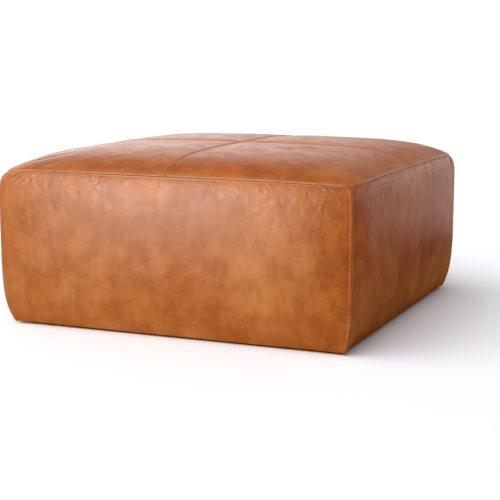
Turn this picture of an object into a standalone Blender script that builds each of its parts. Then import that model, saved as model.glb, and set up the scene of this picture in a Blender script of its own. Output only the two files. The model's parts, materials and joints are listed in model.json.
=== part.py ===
"""Square leather pouf: a sewn hide cover over fibre, foam, a webbed wooden frame and plastic glides.

Metres, +Z up. The origin is on the floor at the centre of the pouf. The front faces -Y.
Whatever repeats round the pouf is made once, at the front or in one corner, and turned about Z.
"""

import math

import bmesh
import bpy
from mathutils import Matrix, Vector

# ------------------------------------------------------------------ driving dimensions
FULL_HALF = 0.4570  # centre to the fullest point of a side panel
CORNER_HALF = 0.4465  # centre plane to the vertical corner seam, at its fullest
SEAM_HEIGHT = 0.3750  # floor to the perimeter seam at the corners
SEAM_RISE = 0.0045  # how much higher that seam is in the middle of a side
CROWN_RISE = 0.0485  # perimeter seam to the top of the crown
COVER_BASE = 0.0050  # floor to the underside of the cover
FIT = 0.0003  # gap between neighbours that touch
QUARTER_TURN = math.pi / 2
SHARP_OVER = math.radians(35)
WELD = 1e-6
CUT_PAST = 0.0010  # how far a cutter runs past what it cuts
SIDES = ("front", "right", "back", "left")
CORNERS = ("front_right", "back_right", "back_left", "front_left")

# How far the cover tucks in from its fullest, at its foot and at its perimeter seam, as (depth, power).
FOOT_TUCK_MIDDLE, SEAM_TUCK_MIDDLE = (0.0370, 6.0), (0.0095, 5.0)
FOOT_TUCK_CORNER, SEAM_TUCK_CORNER = (0.0215, 8.0), (0.0186, 30.0)
CORNER_SQUARENESS = 12.0  # power of the curve from the middle of a side to its corners
CROWN_FLATNESS, CROWN_SHOULDER = 4.2, 0.544  # powers of the crown: flat middle, round shoulder

# ------------------------------------------------------------------ the cover and its filling
LEATHER = 0.0014
SEAM_GAP = 0.0002  # each panel's distance from the seam line
TUCK_UNDER = 0.040  # width of the cover stapled under the frame

FIBRE_OUTER = 0.0034  # leaves room for the seam allowances behind the panels
FIBRE = 0.0075
FIBRE_FOOT = 0.0260  # where the fibre ends, above the floor
FOAM_INSET = FIBRE_OUTER + FIBRE + 0.0005
FOAM_MITRE = 0.9992  # share of the side's width that leaves a gap between mitred pads
SIDE_FOAM_FOOT, SIDE_FOAM_TOP = 0.0340, 0.3450

# Steps across and up a side. The panels share one set and the layers another, so that each set nests.
PANEL_ACROSS = (-1.0, -0.985, -0.95, -0.89, -0.80, -0.66, -0.46, -0.24, 0.0)
PANEL_ACROSS += tuple(-t for t in PANEL_ACROSS[-2::-1])
PANEL_UP = (0.0, 0.03, 0.08, 0.16, 0.28, 0.45, 0.62, 0.78, 0.90, 0.945, 0.972, 0.988, 1.0)
LAYER_ACROSS = (-1.0, -0.97, -0.89, -0.75, -0.45, 0.0, 0.45, 0.75, 0.89, 0.97, 1.0)
LAYER_HEIGHTS = (SIDE_FOAM_FOOT, 0.0520, 0.0800, 0.1300, 0.2200, 0.3000, SIDE_FOAM_TOP)

# ------------------------------------------------------------------ the frame
FRAME_BASE = COVER_BASE + LEATHER + FIT
FRAME_TOP = 0.2870
BOARD_HALF = 0.4145  # outer face of the side boards
BOARD = 0.0040
RAIL_HALF = BOARD_HALF - BOARD - FIT  # outer face of the rails and posts
RAIL, RAIL_DEPTH = 0.022, 0.060
POST = 0.045
STRETCHER, STRETCHER_WIDTH = 0.022, 0.070
BLOCK, BLOCK_LEG = 0.022, 0.150
EASED_EDGE = 0.0015

STRAPS, STRAP_WIDTH, STRAP = 5, 0.070, 0.0016
STRAP_PITCH = 0.150
STRAP_MARGIN = 0.006  # strap end to the rail's outer face, and rail to where the weave starts
WEBBING_LEVEL = FRAME_TOP + FIT + STRAP / 2
WEAVE = STRAP / 2 + FIT  # how far a strap passes above or below that level

# ------------------------------------------------------------------ the underside
DUST_COVER, DUST_COVER_HALF = 0.0008, 0.4000
DUST_COVER_BASE = COVER_BASE - FIT - DUST_COVER
GLIDE_RADIUS, GLIDE_RIM = 0.0140, 0.0012
GLIDE_TOP = DUST_COVER_BASE - FIT
GLIDE_AT = 0.3380  # corner glides, from each centre plane
STEM_RADIUS, STEM_HOLE, STEM_TOP = 0.0030, 0.0035, 0.0250
GLIDE_SIDES = 20


# ------------------------------------------------------------------ the cover's outer surface
def tucked(fullest, share, foot, seam):
    """A reach at a height share from 0 at the foot to 1 at the perimeter seam."""
    return fullest - foot[0] * (1 - share) ** foot[1] - seam[0] * share ** seam[1]


def reaches(share, inset=0.0):
    """How far the vertical seams and the middle of a side are from the centre plane."""
    corner = tucked(CORNER_HALF, share, FOOT_TUCK_CORNER, SEAM_TUCK_CORNER)
    middle = tucked(FULL_HALF, share, FOOT_TUCK_MIDDLE, SEAM_TUCK_MIDDLE)
    return corner - inset, middle - inset


def bowed(corner, middle, t):
    """A side's reach at t, from -1 to 1 between its corners."""
    return corner + (middle - corner) * (1 - abs(t) ** CORNER_SQUARENESS)


def seam_height(t):
    return SEAM_HEIGHT + SEAM_RISE * (1 - t ** 4)


def side_at(t, height, inset=0.0):
    """A point of the front, inset from the cover's outer surface, at a height above the floor."""
    share = min(1.0, (height - COVER_BASE) / (SEAM_HEIGHT - COVER_BASE))
    corner, middle = reaches(share, inset)
    return Vector((corner * t, -bowed(corner, middle, t), height))


def crown_at(u, v, inset=0.0, lift=0.0):
    """A point of the crown: u and v are -1 to 1 across it, and 1 is the perimeter seam."""
    corner, middle = reaches(1.0, inset)

    def bulge(across):
        return max(0.0, 1 - abs(across) ** CROWN_FLATNESS) ** CROWN_SHOULDER

    rise = (CROWN_RISE - inset) * bulge(u) * bulge(v)
    height = SEAM_HEIGHT + SEAM_RISE * (1 - (u * v) ** 4) + lift + rise
    return Vector((u * bowed(corner, middle, v), v * bowed(corner, middle, u), height))


# ------------------------------------------------------------------ helpers
def clear_scene():
    for found in list(bpy.data.objects):
        bpy.data.objects.remove(found)


def material(name, colour, roughness, metallic=0.0):
    made = bpy.data.materials.new(name)
    made.use_nodes = True
    shader = made.node_tree.nodes["Principled BSDF"]
    shader.inputs["Base Color"].default_value = (*colour, 1.0)
    shader.inputs["Roughness"].default_value = roughness
    shader.inputs["Metallic"].default_value = metallic
    return made


def mesh_object(name, bm, mat=None):
    """A named object from a bmesh, smooth but for its edges."""
    mesh = bpy.data.meshes.new(name)
    bmesh.ops.recalc_face_normals(bm, faces=bm.faces)
    bm.to_mesh(mesh)
    bm.free()
    mesh.shade_smooth()
    mesh.set_sharp_from_angle(angle=SHARP_OVER)
    if mat:
        mesh.materials.append(mat)
    return linked(name, mesh)


def linked(name, mesh, turn=0.0, at=(0.0, 0.0, 0.0)):
    """An object that shows a mesh, turned about Z."""
    made = bpy.data.objects.new(name, mesh)
    made.rotation_euler.z = turn
    made.location = at
    bpy.context.scene.collection.objects.link(made)
    return made


def box(low, high):
    """A bmesh box between two corners."""
    bm = bmesh.new()
    size = Vector(high) - Vector(low)
    middle = (Vector(high) + Vector(low)) / 2
    place = Matrix.Translation(middle) @ Matrix.Diagonal((*size, 1.0))
    bmesh.ops.create_cube(bm, size=1.0, matrix=place)
    return bm


def prism(outline, low, high):
    """A bmesh prism from an outline of (x, y) points, between two heights."""
    bm = bmesh.new()
    face = bm.faces.new([bm.verts.new((x, y, low)) for x, y in outline])
    raised = bmesh.ops.extrude_face_region(bm, geom=[face])["geom"]
    moved = [v for v in raised if isinstance(v, bmesh.types.BMVert)]
    bmesh.ops.translate(bm, verts=moved, vec=(0, 0, high - low))
    return bm


def cut(target, cutter):
    """Takes a cutter's shape out of a piece. The cutter isn't part of the pouf."""
    cutter.hide_render = True
    cutter.display_type = "WIRE"
    made = target.modifiers.new(cutter.name, "BOOLEAN")
    made.object = cutter
    made.operation = "DIFFERENCE"
    made.solver = "EXACT"


def skin_of_rows(bm, rows):
    """A sheet of quads through rows of points."""
    verts = [[bm.verts.new(point) for point in row] for row in rows]
    for low, high in zip(verts, verts[1:]):
        bridge(bm, low, high)
    return verts


def bridge(bm, one, other):
    """Quads between two rows of vertices."""
    for i in range(len(one) - 1):
        bm.faces.new((one[i], one[i + 1], other[i + 1], other[i]))


def close_edges(bm, outer, inner):
    """Quads round the rim of two sheets that have the same rows and columns."""
    for end in (0, -1):
        bridge(bm, outer[end], inner[end])
        bridge(bm, [row[end] for row in outer], [row[end] for row in inner])


def ease_edges(made):
    """Planes off a wooden piece's edges."""
    eased = made.modifiers.new("eased edges", "BEVEL")
    eased.width = EASED_EDGE
    eased.segments = 1


def four_round(stem, names, bm, mat, eased=False):
    """A piece and its copies, turned a quarter, a half and three quarters about Z."""
    mesh = mesh_object(f"{stem}_{names[0]}", bm, mat).data
    for turn, name in enumerate(names[1:], start=1):
        linked(f"{stem}_{name}", mesh, turn * QUARTER_TURN)
    made = [bpy.data.objects[f"{stem}_{name}"] for name in names]
    if eased:
        for piece in made:
            ease_edges(piece)
    return made


# ------------------------------------------------------------------ leather
def side_panel_mesh():
    """The front panel: a shell up the side, with its foot turned under the frame and mitred."""
    edge = 1 - SEAM_GAP / CORNER_HALF
    columns = [edge * t for t in PANEL_ACROSS]
    kept = reaches(0.0)[0] - TUCK_UNDER
    bm = bmesh.new()
    skins = []
    for inset in (0.0, LEATHER):
        foot = COVER_BASE + inset
        rows = []
        for share in PANEL_UP:
            top = [seam_height(t) - SEAM_GAP for t in columns]
            rows.append([side_at(t, foot + (z - foot) * share, inset) for t, z in zip(columns, top)])
        narrowed = kept * edge / rows[0][-1].x
        tuck = [Vector((point.x * narrowed, -kept, foot)) for point in rows[0]]
        skins.append(skin_of_rows(bm, [tuck, *rows]))
    close_edges(bm, *skins)
    return bm


def crown_panel_mesh():
    """One quarter of the crown, right of and behind the cross seams."""
    marks = [SEAM_GAP / CORNER_HALF, *[t for t in PANEL_ACROSS if t > 0]]
    bm = bmesh.new()
    skins = []
    for inset in (0.0, LEATHER):
        rows = [[crown_at(u, v, inset, SEAM_GAP) for u in marks] for v in marks]
        skins.append(skin_of_rows(bm, rows))
    close_edges(bm, *skins)
    return bm


def build_leather(mat):
    four_round("side_panel", SIDES, side_panel_mesh(), mat)
    four_round("top_panel", CORNERS[1:] + CORNERS[:1], crown_panel_mesh(), mat)


# ------------------------------------------------------------------ filling
def side_rows(heights, inset):
    """Rows of points up the front of a layer, ending at the crown's rim."""
    rows = [[side_at(t, height, inset) for t in LAYER_ACROSS] for height in heights]
    return rows + [[crown_at(t, -1.0, inset) for t in LAYER_ACROSS]]


def build_fibre(mat):
    """Fibre wrap: one sheet over the crown and down the four sides."""
    bm = bmesh.new()
    insets = (FIBRE_OUTER, FIBRE_OUTER + FIBRE)
    for inset in insets:
        skin_of_rows(bm, [[crown_at(u, v, inset) for u in LAYER_ACROSS] for v in LAYER_ACROSS])
    for turn in range(4):
        spin = Matrix.Rotation(turn * QUARTER_TURN, 3, "Z")
        feet = []
        for inset in insets:
            rows = side_rows((FIBRE_FOOT, *LAYER_HEIGHTS), inset)
            feet.append(skin_of_rows(bm, [[spin @ point for point in row] for row in rows])[0])
        bridge(bm, *feet)
    bmesh.ops.remove_doubles(bm, verts=bm.verts, dist=WELD)
    mesh_object("fibre_wrap", bm, mat)


def build_crown_foam(mat):
    """The soft upper foam: a flat slab whose top follows the crown."""
    bm = bmesh.new()
    rows = [[crown_at(u, v, FOAM_INSET) for u in LAYER_ACROSS] for v in LAYER_ACROSS]
    verts = skin_of_rows(bm, rows)
    rim = verts[0][:-1] + [row[-1] for row in verts[:-1]]
    rim += verts[-1][:0:-1] + [row[0] for row in verts[:0:-1]]
    base = [bm.verts.new((v.co.x, v.co.y, SIDE_FOAM_TOP + FIT)) for v in rim]
    bridge(bm, [*rim, rim[0]], [*base, base[0]])
    bm.faces.new(base)
    mesh_object("seat_foam_crown", bm, mat)


def build_side_foam(mat):
    """A pad on each side board, mitred at the corners and feathered at its foot."""
    flat = BOARD_HALF + FIT
    across = [t * FOAM_MITRE for t in LAYER_ACROSS]
    bm = bmesh.new()
    outer = skin_of_rows(bm, [[side_at(t, z, FOAM_INSET) for t in across] for z in LAYER_HEIGHTS])
    inner = skin_of_rows(bm, [[Vector((flat * t, -flat, z)) for t in across] for z in LAYER_HEIGHTS])
    close_edges(bm, outer, inner)
    four_round("side_foam", SIDES, bm, mat)


def build_seat_core(mat):
    """The firm foam slab on the webbing."""
    low = WEBBING_LEVEL + WEAVE + STRAP / 2 + FIT
    bm = box((-BOARD_HALF, -BOARD_HALF, low), (BOARD_HALF, BOARD_HALF, SIDE_FOAM_TOP))
    mesh_object("seat_foam_core", bm, mat)


# ------------------------------------------------------------------ frame
def build_frame(timber, hardboard):
    inside = RAIL_HALF - POST - FIT
    front, behind = -RAIL_HALF, -RAIL_HALF + RAIL
    rails = {
        "bottom_rail": (FRAME_BASE, FRAME_BASE + RAIL_DEPTH),
        "top_rail": (FRAME_TOP - RAIL_DEPTH, FRAME_TOP),
    }
    for stem, (low, high) in rails.items():
        four_round(stem, SIDES, box((-inside, front, low), (inside, behind, high)), timber, eased=True)

    near, far = RAIL_HALF - POST, RAIL_HALF
    post = box((near, -far, FRAME_BASE), (far, -near, FRAME_TOP))
    four_round("corner_post", CORNERS, post, timber, eased=True)

    low, high = FRAME_BASE + RAIL_DEPTH + FIT, FRAME_TOP - RAIL_DEPTH - FIT
    post = box((-POST / 2, front, low), (POST / 2, behind, high))
    four_round("middle_post", SIDES, post, timber, eased=True)

    # Each board laps the end of its neighbour at its right-hand corner.
    lapped = BOARD_HALF - BOARD - FIT
    board = box((-lapped, -BOARD_HALF, FRAME_BASE), (BOARD_HALF, -BOARD_HALF + BOARD, FRAME_TOP))
    four_round("side_board", SIDES, board, hardboard)


def build_blocks(timber):
    """A block in each bottom corner, cut round the post and drilled for its glide."""
    rail_face, post_face = RAIL_HALF - RAIL - FIT, RAIL_HALF - POST - FIT
    outline = (
        (rail_face, -post_face),
        (post_face, -post_face),
        (post_face, -rail_face),
        (rail_face - BLOCK_LEG, -rail_face),
        (rail_face, -(rail_face - BLOCK_LEG)),
    )
    block = prism(outline, FRAME_BASE, FRAME_BASE + BLOCK)
    blocks = four_round("corner_block", CORNERS, block, timber)
    for made, at in zip(blocks, corner_spots()):
        cut(made, stem_drill(made.name, at))


def build_stretchers(timber):
    """Two flat stretchers, halved over each other where they cross and drilled for the middle glide."""
    reach = RAIL_HALF - RAIL - FIT
    half = STRETCHER_WIDTH / 2
    low, high = FRAME_BASE, FRAME_BASE + STRETCHER
    level = (low + high) / 2
    notch, past = half + FIT, half + CUT_PAST
    above = box((-past, -notch, level), (past, notch, high + CUT_PAST))
    below = box((-notch, -past, low - CUT_PAST), (notch, past, level + FIT))
    solids = {
        "stretcher_lower": (box((-half, -reach, low), (half, reach, high)), above),
        "stretcher_upper": (box((-reach, -half, low), (reach, half, high)), below),
    }
    for name, (bm, halving) in solids.items():
        made = mesh_object(name, bm, timber)
        ease_edges(made)
        cut(made, mesh_object(f"halving_{name}", halving))
        cut(made, stem_drill(name, (0.0, 0.0)))


def corner_spots():
    """Where the corner glides stand, in plan."""
    first = Vector((GLIDE_AT, -GLIDE_AT))
    return [Matrix.Rotation(turn * QUARTER_TURN, 2) @ first for turn in range(4)]


def stem_drill(name, at):
    """A cutter for a glide's stem, from the floor to just above the stem."""
    depth = STEM_TOP + CUT_PAST
    bm = bmesh.new()
    bmesh.ops.create_cone(
        bm,
        segments=GLIDE_SIDES,
        radius1=STEM_HOLE,
        radius2=STEM_HOLE,
        depth=depth,
        cap_ends=True,
        matrix=Matrix.Translation((*at, depth / 2)),
    )
    return mesh_object(f"drill_{name}", bm)


# ------------------------------------------------------------------ webbing
def strap_places():
    """The middle of each strap, across its direction, and so also where it crosses the others."""
    return [(i - (STRAPS - 1) / 2) * STRAP_PITCH for i in range(STRAPS)]


def strap_path(first_over):
    """(distance along, height) of a strap's mid line, woven over and under the straps that cross it."""
    end, held = RAIL_HALF - STRAP_MARGIN, RAIL_HALF - RAIL - STRAP_MARGIN
    path = [(-end, WEBBING_LEVEL), (-held, WEBBING_LEVEL)]
    for i, at in enumerate(strap_places()):
        over = (i % 2 == 0) == first_over
        height = WEBBING_LEVEL + (WEAVE if over else -WEAVE)
        path += [(at - STRAP_WIDTH / 2, height), (at + STRAP_WIDTH / 2, height)]
    return path + [(held, WEBBING_LEVEL), (end, WEBBING_LEVEL)]


def strap(path, middle, lengthwise):
    """A flat strap along a path, its middle line this far to one side of the centre."""
    half_width, half_thick = STRAP_WIDTH / 2 - FIT, STRAP / 2
    bm = bmesh.new()
    rings = []
    for along, height in path:
        ring = []
        for side, rise in ((-1, -1), (1, -1), (1, 1), (-1, 1)):
            across = middle + side * half_width
            plan = (across, along) if lengthwise else (along, across)
            ring.append(bm.verts.new((*plan, height + rise * half_thick)))
        rings.append(ring)
    for one, other in zip(rings, rings[1:]):
        bridge(bm, [*one, one[0]], [*other, other[0]])
    bm.faces.new(rings[0])
    bm.faces.new(rings[-1])
    return bm


def build_webbing(mat):
    """Elastic straps, woven across the top rails."""
    for direction in ("lengthwise", "crosswise"):
        lengthwise = direction == "lengthwise"
        for i, middle in enumerate(strap_places()):
            path = strap_path(first_over=(i % 2 == 0) == lengthwise)
            mesh_object(f"webbing_{direction}_{i + 1}", strap(path, middle, lengthwise), mat)


# ------------------------------------------------------------------ underside
def build_underside(cambric, plastic):
    """The dust cover, and the glides that stand through it."""
    half = DUST_COVER_HALF
    sheet = box((-half, -half, DUST_COVER_BASE), (half, half, DUST_COVER_BASE + DUST_COVER))
    sheet = mesh_object("dust_cover", sheet, cambric)
    spots = dict(zip(("centre", *CORNERS), ((0.0, 0.0), *corner_spots())))
    mesh = glide_mesh(plastic)
    for name, at in spots.items():
        cut(sheet, stem_drill(f"dust_cover_{name}", at))
        linked(f"glide_{name}", mesh, at=(*at, 0.0))


def glide_mesh(mat):
    """A nylon disc with an eased rim and a pointed stem, turned about Z."""
    profile = (
        (0.0, 0.0),
        (GLIDE_RADIUS - GLIDE_RIM, 0.0),
        (GLIDE_RADIUS, GLIDE_RIM),
        (GLIDE_RADIUS, GLIDE_TOP),
        (STEM_RADIUS, GLIDE_TOP),
        (STEM_RADIUS, STEM_TOP - STEM_RADIUS),
        (0.0, STEM_TOP),
    )
    bm = bmesh.new()
    verts = [bm.verts.new((radius, 0, z)) for radius, z in profile]
    edges = [bm.edges.new(pair) for pair in zip(verts, verts[1:])]
    bmesh.ops.spin(
        bm,
        geom=verts + edges,
        cent=(0, 0, 0),
        axis=(0, 0, 1),
        angle=4 * QUARTER_TURN,
        steps=GLIDE_SIDES,
        use_merge=True,
    )
    bmesh.ops.remove_doubles(bm, verts=bm.verts, dist=WELD)
    turned = mesh_object("turned glide", bm, mat)
    mesh = turned.data
    bpy.data.objects.remove(turned)
    return mesh


def main():
    clear_scene()
    leather = material("tan leather", (0.48, 0.20, 0.075), 0.42)
    fibre = material("polyester fibre", (0.86, 0.86, 0.84), 0.95)
    soft_foam = material("soft foam", (0.88, 0.83, 0.62), 0.9)
    firm_foam = material("firm foam", (0.80, 0.74, 0.50), 0.9)
    timber = material("pine", (0.66, 0.47, 0.27), 0.6)
    hardboard = material("hardboard", (0.33, 0.20, 0.11), 0.65)
    webbing = material("elastic webbing", (0.16, 0.14, 0.12), 0.85)
    cambric = material("black cambric", (0.015, 0.015, 0.016), 0.9)
    plastic = material("nylon", (0.03, 0.03, 0.03), 0.4)
    build_leather(leather)
    build_fibre(fibre)
    build_crown_foam(soft_foam)
    build_side_foam(soft_foam)
    build_seat_core(firm_foam)
    build_frame(timber, hardboard)
    build_blocks(timber)
    build_stretchers(timber)
    build_webbing(webbing)
    build_underside(cambric, plastic)


main()
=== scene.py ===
"""The looks of a square leather pouf: its stretched hide cover, topstitching, dust cover, light and camera.

The cover's surface is the CAD's own formula. A cloth simulation gives it its puff and its puckers,
and each of its eight panels is then made as a fine mesh with turned seam edges and stitch dimples.
"""

import json
import math

import bpy
import numpy as np
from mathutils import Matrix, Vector

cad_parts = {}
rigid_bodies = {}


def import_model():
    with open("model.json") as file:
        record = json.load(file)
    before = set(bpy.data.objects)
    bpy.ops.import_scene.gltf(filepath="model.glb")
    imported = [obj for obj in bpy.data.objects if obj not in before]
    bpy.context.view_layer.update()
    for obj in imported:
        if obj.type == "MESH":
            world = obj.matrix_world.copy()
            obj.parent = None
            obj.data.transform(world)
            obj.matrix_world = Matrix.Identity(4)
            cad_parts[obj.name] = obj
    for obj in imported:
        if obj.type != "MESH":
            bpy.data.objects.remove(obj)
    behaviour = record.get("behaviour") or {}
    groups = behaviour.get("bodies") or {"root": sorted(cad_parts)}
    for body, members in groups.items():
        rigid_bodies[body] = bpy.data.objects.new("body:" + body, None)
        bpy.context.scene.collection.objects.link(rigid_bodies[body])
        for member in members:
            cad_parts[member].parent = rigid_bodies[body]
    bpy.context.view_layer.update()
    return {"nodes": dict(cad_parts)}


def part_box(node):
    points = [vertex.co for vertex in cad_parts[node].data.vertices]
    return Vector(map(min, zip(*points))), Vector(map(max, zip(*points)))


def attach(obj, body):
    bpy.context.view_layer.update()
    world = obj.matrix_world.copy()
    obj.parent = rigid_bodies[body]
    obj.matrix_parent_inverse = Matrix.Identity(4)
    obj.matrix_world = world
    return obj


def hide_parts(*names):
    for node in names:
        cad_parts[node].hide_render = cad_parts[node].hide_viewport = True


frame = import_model()

# ---------- the cover, as the CAD has it
SIDES = ("front", "right", "back", "left")
QUARTERS = ("back_right", "back_left", "front_left", "front_right")
SIDE_LOW, SIDE_HIGH = (np.array(corner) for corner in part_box("side_panel_front"))
CROWN_LOW, CROWN_HIGH = (np.array(corner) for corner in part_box("top_panel_back_right"))

BASE = SIDE_LOW[2]  # the cover's foot
CAD_GAP = 0.0002  # each CAD panel's distance from the seam line
SEAM_RISE = 0.0045  # how much higher the perimeter seam is at the middle of a side than at its ends
SEAM = SIDE_HIGH[2] + CAD_GAP - SEAM_RISE  # the perimeter seam at the corners
CROWN = CROWN_HIGH[2] - SEAM - SEAM_RISE  # the crown's rise over that seam
# the reach of a side's middle and of its corners before either tuck, which the CAD panel's box just misses
FULL_HALF, CORNER_HALF = 1.00217 * -SIDE_LOW[1], 1.00047 * SIDE_HIGH[0]
# each tuck: how far in, and the power of height that it grows with
FOOT_TUCK_MIDDLE, SEAM_TUCK_MIDDLE = (0.0370, 6.0), (0.0095, 5.0)
FOOT_TUCK_CORNER, SEAM_TUCK_CORNER = (0.0215, 8.0), (0.0186, 30.0)
CORNER_SQUARENESS = 12.0  # power of the curve from the middle of a side to its corners
CROWN_FLATNESS, CROWN_SHOULDER = 4.2, 0.544  # powers of the crown: flat middle, round shoulder
FLANGE_IN = -SIDE_HIGH[1]  # the turned-under hide ends here

# ---------- seams and stitches
CLEAR = 0.0001  # each hide's distance from the seam line
ROLL = 0.0013  # radius of a turned seam edge
ALLOWANCE = 0.0085  # the hide turned in behind a seam
STITCH_ROW = 0.0031  # seam line to thread
PITCH, STITCH, THREAD = 0.0060, 0.0047, 0.00042  # stitch to stitch, a stitch's length, the thread's radius
BAND, BAND_END = 0.0008, 0.0060  # the ridge over a seam allowance: its height and its reach
FOLD = 0.0040  # how far from the foot's edge the hide starts to turn under
UPRIGHT, CROSS = 0.45, 0.6  # how strong the vertical and the cross seams are, next to the perimeter seam's 1
SWELL, SWELL_NEAR, SWELL_FAR = 0.0046, 0.018, 0.110  # the filling presses a side out just below its seam


def reaches(share):
    """How far the vertical seams and the middle of a side are from the centre plane."""
    corner = CORNER_HALF - FOOT_TUCK_CORNER[0] * (1 - share) ** FOOT_TUCK_CORNER[1]
    corner = corner - SEAM_TUCK_CORNER[0] * share ** SEAM_TUCK_CORNER[1]
    middle = FULL_HALF - FOOT_TUCK_MIDDLE[0] * (1 - share) ** FOOT_TUCK_MIDDLE[1]
    middle = middle - SEAM_TUCK_MIDDLE[0] * share ** SEAM_TUCK_MIDDLE[1]
    return corner, middle


def side_surface(t, share):
    """Points of the front: t is -1 to 1 across it, share 0 to 1 up it."""
    t, share = np.broadcast_arrays(t, share)
    corner, middle = reaches(share)
    reach = corner + (middle - corner) * (1 - np.abs(t) ** CORNER_SQUARENESS)
    top = SEAM + SEAM_RISE * (1 - t**4)
    return np.stack([corner * t, -reach, BASE + (top - BASE) * share], axis=-1)


def crown_surface(u, v):
    """Points of the crown: u and v are -1 to 1 across it."""
    u, v = np.broadcast_arrays(u, v)
    corner, middle = reaches(1.0)

    def reach(across):
        return corner + (middle - corner) * (1 - np.abs(across) ** CORNER_SQUARENESS)

    def bulge(across):
        return np.clip(1 - np.abs(across) ** CROWN_FLATNESS, 0, None) ** CROWN_SHOULDER

    height = SEAM + SEAM_RISE * (1 - (u * v) ** 4) + CROWN * bulge(u) * bulge(v)
    return np.stack([u * reach(v), v * reach(u), height], axis=-1)


def turned(points, quarter):
    """Points turned about Z by a number of quarter turns."""
    x, y = points[..., 0], points[..., 1]
    for _ in range(quarter % 4):
        x, y = -y, x
    return np.stack([x, y, points[..., 2]], axis=-1)


# ---------- grids
def grid_faces(index):
    """Quads over a grid of vertex numbers."""
    return np.stack([index[:-1, :-1], index[:-1, 1:], index[1:, 1:], index[1:, :-1]], axis=-1).reshape(-1, 4)


def numbered(shape, start=0):
    return start + np.arange(shape[0] * shape[1]).reshape(shape)


def unit(vectors):
    return vectors / np.maximum(np.linalg.norm(vectors, axis=-1, keepdims=True), 1e-15)


def normals_of(points):
    """Unit normals of a grid of points, turning from its columns to its rows."""
    return unit(np.cross(np.gradient(points, axis=1), np.gradient(points, axis=0)))


def surface_normals(surface, first, second):
    """Unit normals of a surface function, from short steps back towards its middle."""

    def steps(place):
        return np.sign(place + 1e-9) * np.maximum(0.02 * (1 - np.abs(place)), 1e-7)

    here = surface(first, second)
    towards_first = (here - surface(first - steps(first), second)) * np.sign(first + 1e-9)[..., None]
    towards_second = (here - surface(first, second - steps(second))) * np.sign(second + 1e-9)[..., None]
    return unit(np.cross(towards_first, towards_second))


def run_lengths(points, axis):
    """Distances along the grid's lines, from their first point."""
    steps = np.linalg.norm(np.diff(points, axis=axis), axis=-1)
    start = np.zeros_like(np.take(steps, [0], axis=axis))
    return np.cumsum(np.concatenate([start, steps], axis=axis), axis=axis)


def side_share(t, below):
    """Height shares that lie these distances below the perimeter seam, over the surface, at each t."""
    fine = 1 - np.concatenate([[0], np.geomspace(1e-5, 1, 500)])
    lengths = run_lengths(side_surface(*np.meshgrid(t, fine)), 0)
    height = SEAM - BASE
    shares = np.empty((len(below), len(t)))
    for at in range(len(t)):
        arc = below + (lengths[-1, at] - height) * smooth_step(below, 0.0, height)
        shares[:, at] = np.interp(arc, lengths[:, at], fine)
    return shares


def swell(t, below):
    """How far the filling presses a side out, this far below the perimeter seam."""
    return SWELL * (1 - np.exp(-below / SWELL_NEAR)) * np.exp(-below / SWELL_FAR) * (1 - np.abs(t) ** 8)


def spline_weights(places, count):
    """Cubic B-spline weights of a row of control values at fractional places along it."""
    places = np.clip(places, 0, count - 1)
    cell = np.minimum(places.astype(int), count - 2)
    part = places - cell
    weights = np.zeros((len(places), count + 2))
    second = 3 * part**3 - 6 * part**2 + 4
    third = 1 + 3 * part + 3 * part**2 - 3 * part**3
    for step, share in enumerate([(1 - part) ** 3, second, third, part**3]):
        weights[np.arange(len(places)), cell + step] += share / 6
    # the row is carried on past its ends in a straight line
    weights[:, 1] += 2 * weights[:, 0]
    weights[:, 2] -= weights[:, 0]
    weights[:, -2] += 2 * weights[:, -1]
    weights[:, -3] -= weights[:, -1]
    return weights[:, 1:-1]


def spread(control, rows, columns):
    """A control grid's smooth values at every pair of fractional row and column places."""
    return spline_weights(rows, control.shape[0]) @ control @ spline_weights(columns, control.shape[1]).T


def softened(values, width):
    """A grid averaged over about width cells each way."""
    reach = int(3 * width)
    kernel = np.exp(-0.5 * (np.arange(-reach, reach + 1) / width) ** 2)
    kernel /= kernel.sum()
    for axis in (0, 1):
        padding = [(reach, reach) if axis == side else (0, 0) for side in (0, 1)]
        padded = np.pad(values, padding, mode="reflect" if values.shape[axis] > reach else "edge")
        values = np.apply_along_axis(lambda line: np.convolve(line, kernel, "valid"), axis, padded)
    return values


def undulation(rng, cell, height):
    """A seeded smooth relief over a metre each way: a function of the places along and across it."""
    count = int(1.0 / cell) + 4
    control = rng.normal(0, height, (count, count))
    return lambda along, across: spread(control, along / cell + 1, across / cell + 1)


# ---------- the hide under pressure
SIM_ACROSS, SIM_UP, SIM_FRAMES = 112, 48, 20
SIDE_CAP, CROWN_CAP = 0.0009, 0.0018  # how far the simulation may move a side and the crown


def sim_lines():
    """The places of the simulated cover's columns and rows, closer together near the seams."""
    across = np.linspace(-1, 1, SIM_ACROSS + 1)
    across = 0.6 * across + 0.4 * np.sin(math.pi / 2 * across)
    up = np.linspace(0, 1, SIM_UP + 1)
    up = 0.55 * up + 0.45 * (0.5 - 0.5 * np.cos(math.pi * up))
    return across, up


def weigh(blank, name, weights):
    """A vertex group that holds these weights, rounded to hundredths."""
    group = blank.vertex_groups.new(name=name)
    weights = np.round(weights, 2)
    for weight in np.unique(weights):
        if weight > 0:
            group.add(np.nonzero(weights == weight)[0].tolist(), float(weight), "REPLACE")


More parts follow.
